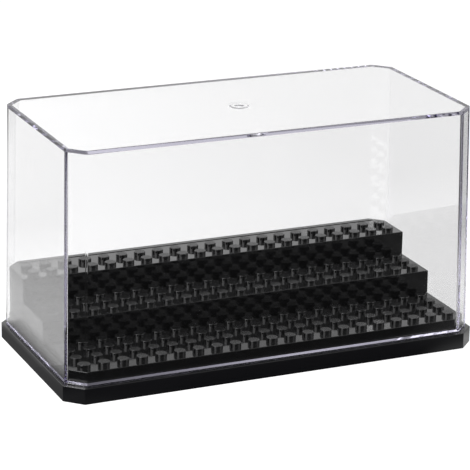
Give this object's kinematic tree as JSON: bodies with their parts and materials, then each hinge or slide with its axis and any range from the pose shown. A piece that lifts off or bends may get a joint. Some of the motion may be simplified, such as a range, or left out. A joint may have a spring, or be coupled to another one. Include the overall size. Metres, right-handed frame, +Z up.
{
  "type": "figure display case",
  "caption": "Clear box cover on a black stepped base with rows of round studs, for showing small studded figures; the cover and the steps lift off.",
  "frame": {"origin": "centre of the underside of the base, on the surface that it stands on", "axes": "+X along the width, to the right seen from the front; +Y towards the back; +Z up. The front, with the lowest deck, faces -Y"},
  "size_m": [0.1796, 0.0892, 0.1008],
  "materials": {
    "gloss_black_moulded_styrene": "gloss black moulded styrene",
    "clear_moulded_styrene": "clear polished moulded styrene"
  },
  "bodies": {
    "base": {"base_tray": "gloss_black_moulded_styrene"},
    "cover": {"clear_cover": "clear_moulded_styrene"},
    "lower_riser": {"middle_step": "gloss_black_moulded_styrene"},
    "upper_riser": {"rear_step": "gloss_black_moulded_styrene"}
  },
  "joints": [
    {"name": "cover_lift", "type": "slide", "parent": "base", "child": "cover", "axis": [0, 0, 1], "range_m": [0, 0.12]},
    {"name": "middle_step_lift", "type": "slide", "parent": "base", "child": "lower_riser", "axis": [0, 0, 1], "range_m": [0, 0.022]},
    {"name": "rear_step_lift", "type": "slide", "parent": "base", "child": "upper_riser", "axis": [0, 0, 1], "range_m": [0, 0.016]}
  ]
}
